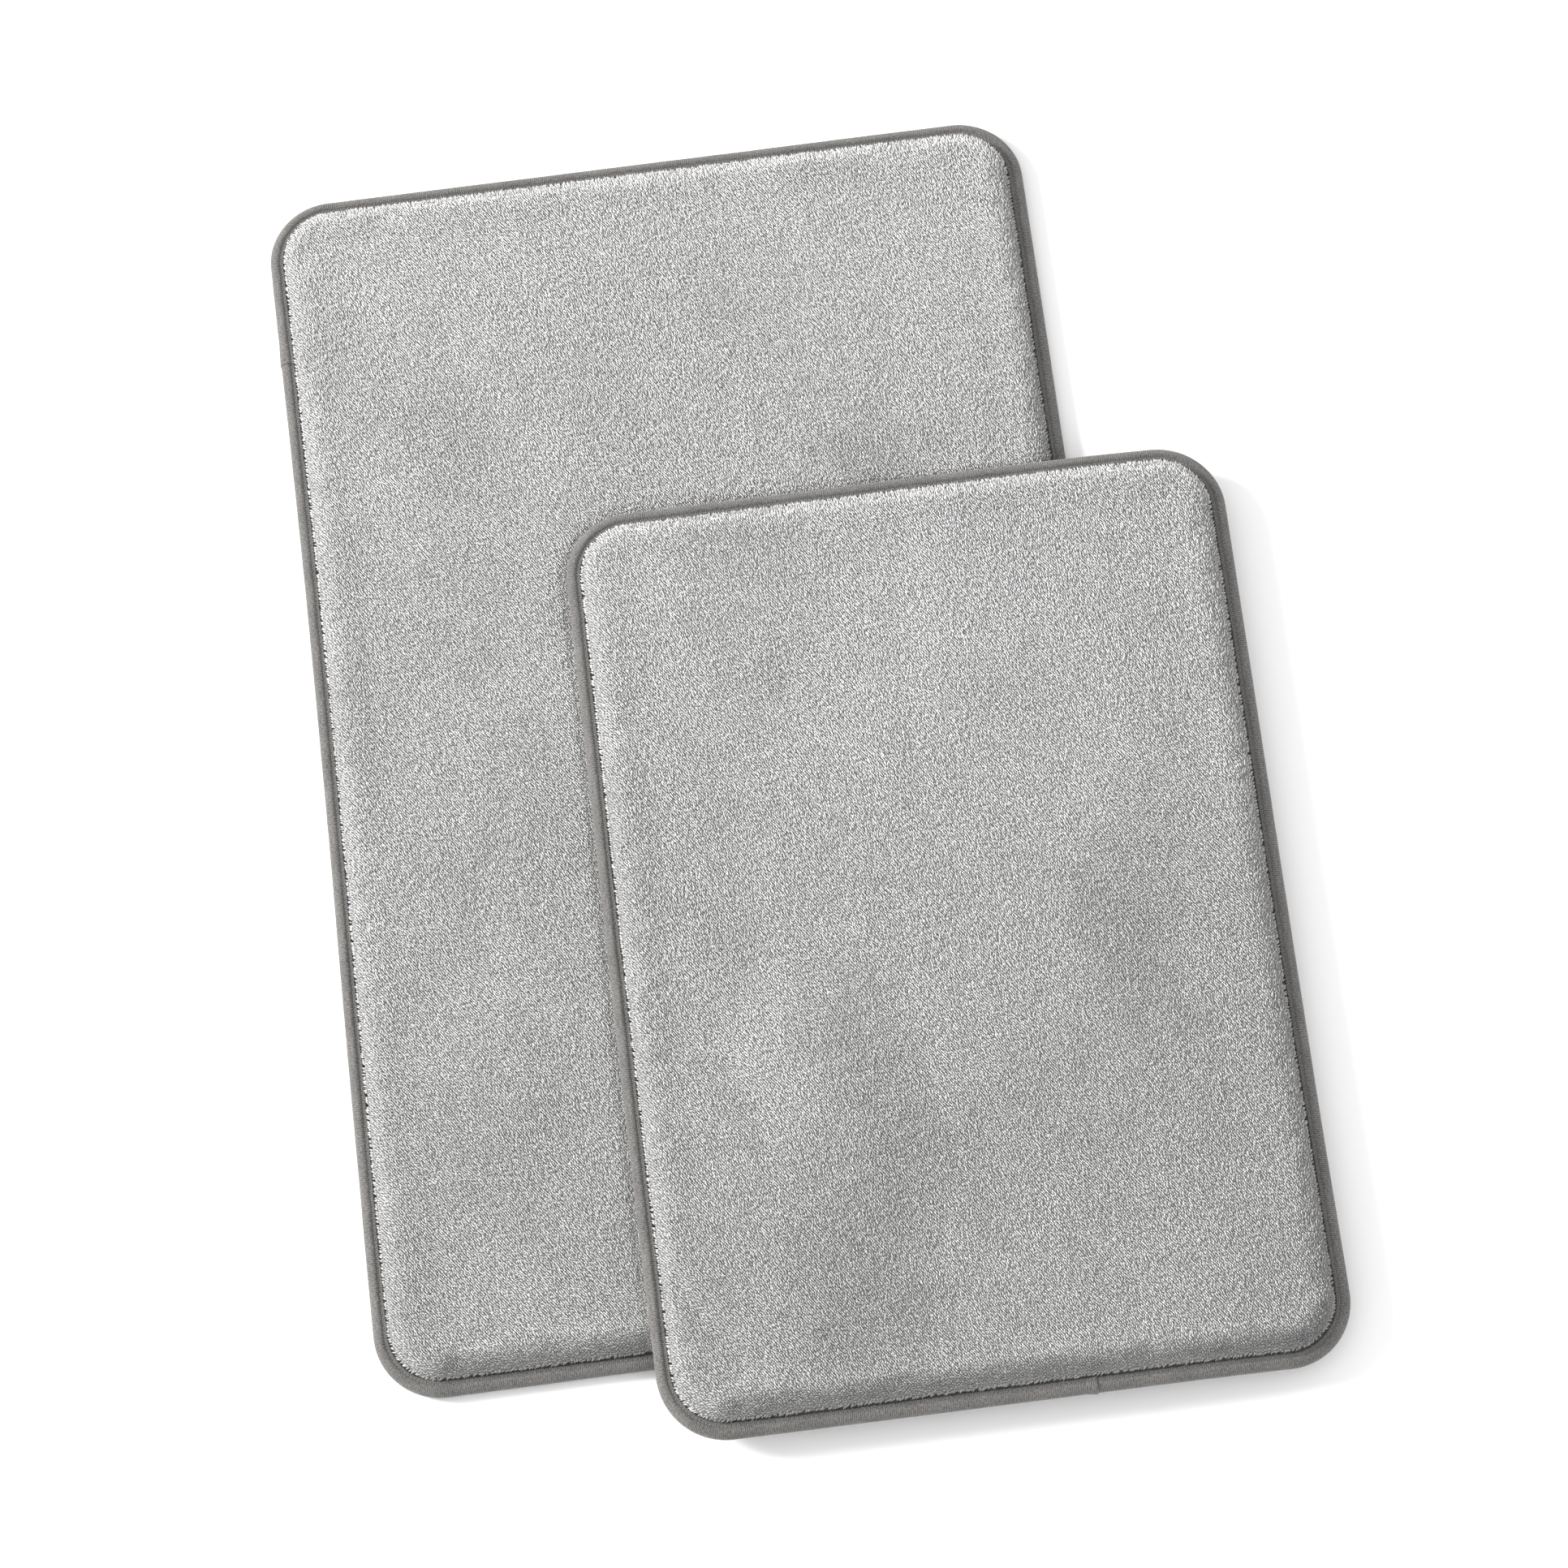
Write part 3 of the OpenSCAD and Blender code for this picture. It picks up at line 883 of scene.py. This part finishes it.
def stitches(mat, height, top):
    """One row of a lockstitch: short capsules of thread, dipping into the cloth at each end."""
    around_count = 6
    base, out, walked, around = rim(mat, STITCH)
    wander = 0.5 * 0.35 * MM * ring_noise(walked, around, 45 * MM, mat.seed + 20) if top else 0
    line = at_rim(base, out, SEAM_IN + wander, height)
    ends = np.roll(line, -1, axis=0)
    way = unit(ends - line)
    sideways = np.column_stack([-way[:, 1], way[:, 0], np.zeros(len(way))])
    points, faces = [], []
    # Along a stitch, its thickness as a share of the thread's, and how far it dips into the cloth.
    start = [(0.02, 0.15, -1.0), (0.14, 0.85, -0.35)]
    profile = start + [(0.5, 1.0, 0.0), (0.86, 0.85, -0.35), (0.98, 0.15, -1.0)]
    sign = 1 if top else -1
    for t, size, dip in profile:
        middle = line + (ends - line) * t
        middle[:, 2] += sign * dip * THREAD_R * 1.1
        for k in range(around_count):
            a = 2 * math.pi * k / around_count
            upward = np.array([0, 0, 1]) * math.sin(a)
            points.append(middle + (sideways * math.cos(a) + upward) * THREAD_R * size)
    number = len(line)
    points = np.concatenate(points)
    i = np.arange(number)
    for ring in range(len(profile) - 1):
        for k in range(around_count):
            a, b = ring * around_count + k, ring * around_count + (k + 1) % around_count
            c, d = a + around_count, b + around_count
            faces.append(np.column_stack([a * number + i, c * number + i, d * number + i, b * number + i]))
    faces = [tuple(f) for f in np.concatenate(faces)]
    last = (len(profile) - 1) * around_count
    for s in range(number):
        faces.append(tuple(k * number + s for k in range(around_count)))
        faces.append(tuple((last + k) * number + s for k in reversed(range(around_count))))
    side, kind = ("needle", "needle_thread") if top else ("bobbin", "bobbin_thread")
    row = mesh_object(f"{mat.name}_{side}_stitches", points, faces, mat, [THREAD])
    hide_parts(f"{mat.name}_{kind}")


def binding_lap(mat):
    """The tape's end laid over its start: thickest at its folded edge and fading into the tape behind."""
    low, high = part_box(mat.name + "_binding_lap")
    middle = (np.array(low) + np.array(high)) / 2 - mat.centre
    base, out, walked, around = rim(mat, 0.7 * MM)
    edge = at_rim(base, out, 0, 0)
    nearest = int(np.argmin(np.linalg.norm(edge[:, :2] - middle[:2], axis=1)))
    spread = np.linspace(-1, 1, 25) if mat is large else np.linspace(-1, 0, 25)
    way = np.array([-out[nearest][1], out[nearest][0]])
    start = base[nearest]
    section = tape_section(np.zeros(1) + walked[nearest], around, mat.seed + 20)[:17]
    rings = []
    for t in spread:
        share = (t + 1) / (spread[-1] + 1)
        fold = min(1.0, 0.25 + (1 - share) * 16) ** 0.5
        thick = (0.1 * MM + LAP_T[mat.name] * share) * fold
        ring = []
        for u, z in section:
            ring.append((float(np.atleast_1d(u)[0]), float(np.atleast_1d(z)[0])))
        ring = np.array(ring)
        tangent = np.gradient(ring, axis=0)
        normal = np.column_stack([tangent[:, 1], -tangent[:, 0]])
        normal /= np.linalg.norm(normal, axis=1)[:, None]
        outer = ring + normal * thick
        inner = ring - normal * 0.2 * MM
        loop = np.concatenate([outer, inner[::-1]])
        at = start + way * (t * LAP_L / 2)
        xy = at + out[nearest] * (CORNER_R - loop[:, :1])
        rings.append(np.column_stack([xy, np.maximum(loop[:, 1], 0.02 * MM)]))
    size = len(rings[0])
    points = np.concatenate(rings)
    i = np.arange(size)
    j = (i + 1) % size
    faces = []
    for k in range(len(rings) - 1):
        a, b = k * size, (k + 1) * size
        faces += [tuple(f) for f in np.column_stack([a + i, a + j, b + j, b + i])]
    faces += [tuple(range(size))[::-1], tuple((len(rings) - 1) * size + v for v in range(size))]
    piece = mesh_object(mat.name + "_tape_lap", points, faces, mat, [TAPE])
    layer = piece.data.uv_layers.new(name="tape_way")
    index = np.zeros(len(piece.data.loops), int)
    piece.data.loops.foreach_get("vertex_index", index)
    along = walked[nearest] + spread[index // size] * LAP_L / 2
    across = np.where(index % size < size / 2, index % size, size - index % size) * 1.1 * MM
    layer.data.foreach_set("uv", np.column_stack([along, across]).ravel())
    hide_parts(mat.name + "_binding_lap")


# ---------------------------------------------------------------- build
for mat in (large, small):
    cover = pile_cover(mat)
    tufts(mat, cover)
    cover_points = np.array([v.co for v in cover.data.vertices]) - mat.centre
    cover.data.vertices.foreach_set("co", lie(mat, cover_points).ravel())
    foam_core(mat)
    backing(mat)
    edge_binding(mat)
    stitches(mat, SEAM_TOP, True)
    stitches(mat, 0.3 * MM, False)
    binding_lap(mat)


# ---------------------------------------------------------------- camera, floor and light
def camera():
    data = bpy.data.cameras.new("camera")
    data.sensor_width = 36
    data.lens = 107.2
    data.clip_end = 50
    tilt, roll, turn = (math.radians(a) for a in (17.33, -5.50, -1.78))
    aim = Matrix.Rotation(turn, 4, "Z") @ Matrix.Rotation(tilt, 4, "X") @ Matrix.Rotation(roll, 4, "Z")
    seen = bpy.data.objects.new("camera", data)
    seen.matrix_world = Matrix.Translation((0.015, -0.936, 2.879)) @ aim
    bpy.context.scene.collection.objects.link(seen)
    bpy.context.scene.camera = seen


def floor():
    made, tree, shader = material("floor_paint", grey(0.92), 0.9)
    where = node(tree, "ShaderNodeTexCoord").outputs["Object"]
    tone = ramp(tree, noise(tree, where, 3, 2), [(0.3, grey(0.91)), (0.7, grey(0.93))])
    tree.links.new(tone, shader.inputs["Base Color"])
    mesh = bpy.data.meshes.new("floor")
    reach, height = 12.0, -0.0004
    corners = [(x * reach, y * reach, height) for x, y in ((-1, -1), (1, -1), (1, 1), (-1, 1))]
    mesh.from_pydata(corners, [], [(0, 1, 2, 3)])
    mesh.materials.append(made)
    ground = bpy.data.objects.new("floor", mesh)
    bpy.context.scene.collection.objects.link(ground)


def lamp(name, place, size, power, target=(0.05, 0, 0)):
    data = bpy.data.lights.new(name, "AREA")
    data.shape = "SQUARE"
    data.size = size
    data.energy = power
    light = bpy.data.objects.new(name, data)
    light.location = place
    light.rotation_euler = (Vector(target) - Vector(place)).to_track_quat("-Z", "Y").to_euler()
    bpy.context.scene.collection.objects.link(light)


def light():
    world = bpy.data.worlds.new("world")
    world.use_nodes = True
    world.node_tree.nodes["Background"].inputs["Color"].default_value = (1, 1, 1, 1)
    world.node_tree.nodes["Background"].inputs["Strength"].default_value = 1.12
    bpy.context.scene.world = world
    lamp("key", (-8.3, 3.1, 4.7), 2.5, 1560)
    bpy.context.scene.view_settings.view_transform = "Standard"


camera()
floor()
light()
